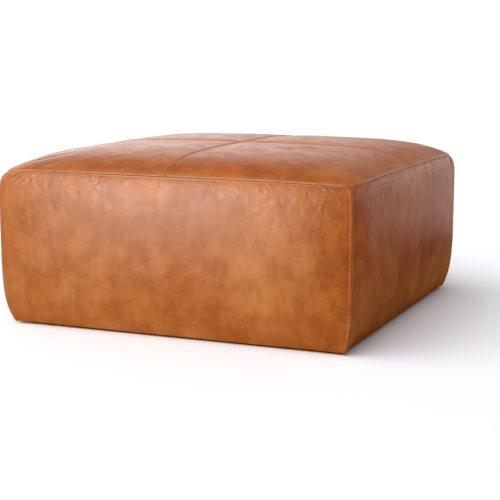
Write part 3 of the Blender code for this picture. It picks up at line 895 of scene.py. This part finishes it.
def cambric_material():
    n = new_material("black dust cloth", 0.95)
    fibres = n.noise(700, 4, 0.7, stretch=(1, 0.25, 1), distortion=0.6)
    bonds = n.curve(n.cells(450), 0.0, 0.45)
    colour = n.mix(n.curve(fibres, 0.35, 0.7), (0.012, 0.012, 0.013), (0.035, 0.035, 0.037))
    n.shade("Base Color", n.mix(n.math("MULTIPLY", bonds, 0.4), colour, (0.006, 0.006, 0.007)))
    n.shade("Normal", n.bump(fibres, 0.0004, 0.5))
    n.shade("Sheen Weight", 0.2)
    return n.owner


def zinc_material():
    n = new_material("galvanised wire", 0.38, (0.55, 0.56, 0.57))
    n.shade("Metallic", 1.0)
    n.shade("Base Color", n.mix(n.noise(900, 3), (0.42, 0.43, 0.45), (0.66, 0.67, 0.68)))
    n.shade("Roughness", n.curve(n.noise(500, 2), 0.3, 0.7, 0.3, 0.5))
    return n.owner


def build_dust_cloth(rng):
    """The cloth, a little loose, tucked in waves along its edge and doubled on itself."""
    half = COVER_HIGH[0]
    line = np.linspace(-half, half, 97)
    x, y = np.meshgrid(line, line)
    edge = half - np.maximum(np.abs(x), np.abs(y))
    loose = smooth_step(edge, 0.008, 0.08)
    sag = 0.0006 * undulation(rng, 0.12, 1.0)(line + half + 0.02, line + half + 0.02)
    along = np.where(np.abs(x) > np.abs(y), y, x)
    tucks = 0.00025 * np.cos(2 * math.pi * along / STAPLE_PITCH) * np.exp(-(((edge - 0.014) / 0.012) ** 2))
    wave = np.clip(loose * sag, -0.0010, 0.0012) + tucks
    under = np.stack([x, y, COVER_LOW[2] + 0.00035 + wave], axis=-1)
    over = under + np.array([0, 0, 0.00025])
    top = numbered(over.shape[:2])
    bottom = numbered(under.shape[:2], over.shape[0] * over.shape[1])
    faces = [grid_faces(top), grid_faces(bottom)[:, ::-1]]
    rims = [(layer[0], layer[-1][::-1], layer[:, 0][::-1], layer[:, -1]) for layer in (top, bottom)]
    for above, below in zip(*rims):
        faces.append(np.stack([below[:-1], below[1:], above[1:], above[:-1]], axis=-1))
    points = np.concatenate([over.reshape(-1, 3), under.reshape(-1, 3)])
    cloth = new_piece("dust_cloth", points, np.concatenate(faces).tolist(), cambric_material())
    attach(cloth, "root")
    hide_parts("dust_cover")


STAPLE_PITCH = 0.030
WIRE, STAPLE_HALF, LEG = 0.0006, 0.0050, 0.0030  # a staple's wire, half its width and the length of its legs


def build_staples(rng):
    """Staples along the dust cloth's four edges, each a bent square wire that lies a little askew."""
    half = COVER_HIGH[0]
    steps = np.arange(-half + 0.020, half - 0.010, STAPLE_PITCH)
    right = [(STAPLE_HALF - WIRE, 0), (STAPLE_HALF, WIRE), (STAPLE_HALF, LEG)]
    profile = [(-along, up) for along, up in right[::-1]] + right
    ways = [(0.4, -1), (0.8, -0.5), (1, 0)]
    normals = unit(np.array([(-x, y) for x, y in ways[::-1]] + ways, float))
    corners = np.array([(-1, -0.5), (1, -0.5), (1, 0.5), (-1, 0.5)]) * WIRE
    all_points, all_faces = [], []
    for quarter in range(4):
        for place in steps:
            lean, drift = rng.uniform(-0.25, 0.25), rng.uniform(-0.002, 0.002)
            middle = (place + rng.uniform(-0.002, 0.002), -half + 0.009 + drift, COVER_LOW[2] - 0.0002)
            block = []
            for (along, up), normal in zip(profile, normals):
                for across, out in corners:
                    shifted = along + normal[0] * out
                    x = middle[0] + shifted * math.cos(lean) - across * math.sin(lean)
                    y = middle[1] + shifted * math.sin(lean) + across * math.cos(lean)
                    block.append((x, y, middle[2] + (up + normal[1] * out)))
            index = numbered((len(profile), len(corners)), len(all_points) * len(block))
            after = np.roll(index, -1, axis=1)
            quads = np.stack([index[:-1], index[1:], after[1:], after[:-1]], axis=-1).reshape(-1, 4)
            all_faces += quads.tolist() + [index[0].tolist(), index[-1][::-1].tolist()]
            all_points.append(turned(np.array(block), quarter))
    points = np.concatenate(all_points)
    staples = new_piece("dust_cloth_staples", points, all_faces, zinc_material(), smooth=False)
    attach(staples, "root")


def build_underside():
    rng = np.random.default_rng(31)
    build_dust_cloth(rng)
    build_staples(rng)


# ---------- CAD nodes that stay
def wood_material(name, pale, dark, rings):
    n = new_material(name, 0.62)
    grain = n.noise(rings, 5, 0.6, stretch=(1, 1, 6), distortion=1.5)
    fibre = n.noise(rings * 14, 3, 0.6, stretch=(0.2, 1, 1))
    colour = n.mix(n.curve(grain, 0.3, 0.7), pale, dark)
    n.shade("Base Color", n.mix(n.math("MULTIPLY", fibre, 0.3), colour, dark))
    n.shade("Normal", n.bump(fibre, 0.0003, 0.4))
    return n.owner


def cellular_material(name, pale, dark, scale, depth):
    n = new_material(name, 0.95)
    pores = n.cells(scale)
    n.shade("Base Color", n.mix(n.curve(pores, 0.1, 0.6), dark, pale))
    n.shade("Normal", n.bump(pores, depth, 0.7))
    return n.owner


def woven_material(name, pale, dark, scale):
    n = new_material(name, 0.85)
    warp = n.noise(scale, 2, stretch=(1, 0.12, 1))
    weft = n.noise(scale, 2, stretch=(0.12, 1, 1))
    weave = n.math("MAXIMUM", warp, weft)
    n.shade("Base Color", n.mix(n.curve(weave, 0.4, 0.75), dark, pale))
    n.shade("Normal", n.bump(weave, 0.0005, 0.6))
    return n.owner


def nylon_material():
    n = new_material("black nylon", 0.42)
    scuffs = n.curve(n.noise(260, 4, 0.7), 0.5, 0.7)
    n.shade("Base Color", n.mix(scuffs, (0.020, 0.020, 0.021), (0.050, 0.050, 0.052)))
    n.shade("Roughness", n.curve(scuffs, 0, 1, 0.36, 0.6))
    n.shade("Normal", n.bump(n.noise(600, 2), 0.0001, 0.4))
    return n.owner


def dress_nodes():
    """Gives every CAD node that stays a material of its own, by what it is made of."""
    pine = wood_material("planed pine", (0.56, 0.36, 0.18), (0.36, 0.20, 0.085), 26)
    board = wood_material("hardboard", (0.23, 0.125, 0.062), (0.15, 0.078, 0.038), 90)
    soft = cellular_material("soft foam", (0.76, 0.68, 0.42), (0.52, 0.44, 0.24), 700, 0.0006)
    firm = cellular_material("firm foam", (0.64, 0.55, 0.30), (0.42, 0.35, 0.17), 900, 0.0005)
    wadding = woven_material("polyester fibre", (0.80, 0.80, 0.78), (0.56, 0.56, 0.55), 500)
    straps = woven_material("elastic webbing", (0.060, 0.052, 0.045), (0.016, 0.014, 0.012), 900)
    kinds = (
        ("fibre_wrap", wadding),
        ("seat_foam_crown", soft),
        ("side_foam", soft),
        ("seat_foam_core", firm),
        ("webbing", straps),
        ("side_board", board),
        ("glide", nylon_material()),
    )
    for name, node in frame["nodes"].items():
        material = next((material for start, material in kinds if name.startswith(start)), pine)
        if name.startswith(("side_panel", "top_panel", "dust_cover")):
            continue
        for slot in node.material_slots:
            slot.material = material


puffs = pressed_cover()
build_sides(puffs)
build_crown(puffs[4])
sew_cover()
build_underside()
dress_nodes()


# ---------- studio
def aimed(name, data, place, direction):
    """An object at place that looks along direction."""
    made = bpy.data.objects.new(name, data)
    made.location = place
    made.rotation_euler = Vector(direction).to_track_quat("-Z", "Y").to_euler()
    bpy.context.scene.collection.objects.link(made)
    return made


def look_from(eye, heading, pitch, lens):
    """The camera: at eye, looking along a heading and a pitch in degrees."""
    heading, pitch = math.radians(heading), math.radians(pitch)
    level = math.cos(pitch)
    data = bpy.data.cameras.new("camera")
    data.lens = lens
    data.sensor_width = 36
    direction = (level * math.cos(heading), level * math.sin(heading), math.sin(pitch))
    bpy.context.scene.camera = aimed("camera", data, eye, direction)


def add_light(name, kind, place, target, power, colour):
    data = bpy.data.lights.new(name, kind)
    data.energy = power
    data.color = colour
    aimed(name, data, place, Vector(target) - Vector(place)).visible_camera = False
    return data


def add_panel(name, place, target, size, power):
    """A rectangular light that lights no surface but shows in its sheen."""
    panel = add_light(name, "AREA", place, target, power, (1.0, 0.99, 1.0))
    panel.shape = "RECTANGLE"
    panel.size, panel.size_y = size
    bpy.data.objects[name].visible_diffuse = False


CAMERA = (1.2904, -2.9916, 0.6856), 113.013, -9.445, 91.0
KEY_FROM, KEY_POWER, KEY_ANGLE = (-0.35, -0.53, 0.79), 2.68, 75
# each lit panel: its place, what it points at, its size and its power
SOFTBOX = (-0.64, -1.75, 0.43), (-0.05, -0.45, 0.30), (0.58, 0.54), 24
RIMBOX = (0.66, 1.05, 0.28), (0.46, 0.30, 0.30), (0.38, 0.44), 0.36
# each bright area around: its strength, its direction, and the cosines where it starts and is full
BACKDROP = 2.7, (-0.85, 0.527, 0.0), (0.58, 0.96)
WING = 0.85, (0.25, 0.968, 0.0), (0.86, 0.995)
HORIZON = (-0.08, 0.04)
BELOW, LEVEL, OVERHEAD = 0.04, 0.26, 0.38  # the surroundings' strength below and at the horizon, and overhead
BLACK, WHITE = 0.015, 0.96


def build_floor():
    n = new_material("studio floor", 0.9, (0.915, 0.945, 0.985))
    n.shade("Specular IOR Level", 0.0)
    size = 60.0
    points = np.array([(-size, -size, 0), (size, -size, 0), (size, size, 0), (-size, size, 0)], float)
    floor = new_piece("floor", points, [[0, 1, 2, 3]], n.owner, smooth=False)
    floor.visible_glossy = False


def build_world():
    """Pale surroundings with two bright areas that stand on the horizon, and white to the camera."""
    world = bpy.data.worlds.new("studio")
    world.use_nodes = True
    n = Nodes(world, "Generated")
    height = n.add("ShaderNodeSeparateXYZ", {0: n.position}).outputs["Z"]

    def glow(strength, place, edge):
        towards = n.add("ShaderNodeVectorMath", {0: n.position, 1: place}, operation="DOT_PRODUCT")
        return n.curve(towards.outputs["Value"], *edge, 0.0, strength)

    standing = n.math("MULTIPLY", n.curve(height, *HORIZON), n.curve(height, 0.05, 0.60, 1.0, 0.0))
    screens = n.math("ADD", glow(*BACKDROP), glow(*WING))
    risen = n.curve(height, 0.0, 1.0, 0.0, OVERHEAD - LEVEL)
    around = n.math("ADD", n.curve(height, *HORIZON, BELOW, LEVEL), risen)
    lit = n.math("ADD", n.math("MULTIPLY", standing, screens), around)
    seen = n.math("MAXIMUM", lit, n.add("ShaderNodeLightPath").outputs["Is Camera Ray"])
    background = world.node_tree.nodes["Background"].inputs
    n.join(seen, background["Strength"])
    n.join((1, 1, 1), background["Color"])
    bpy.context.scene.world = world


def build_studio():
    build_floor()
    build_world()
    key = add_light("key", "SUN", KEY_FROM, (0, 0, 0), KEY_POWER, (1.0, 0.988, 0.97))
    key.angle = math.radians(KEY_ANGLE)
    # the front's highlight, and the sheen at the far end of the right side
    add_panel("softbox", *SOFTBOX)
    add_panel("rimbox", *RIMBOX)
    view = bpy.context.scene.view_settings
    view.view_transform = "Standard"
    view.use_curve_mapping = True
    view.curve_mapping.black_level = (BLACK, BLACK, BLACK)
    view.curve_mapping.white_level = (WHITE, WHITE, WHITE)
    view.curve_mapping.update()
    look_from(*CAMERA)


build_studio()
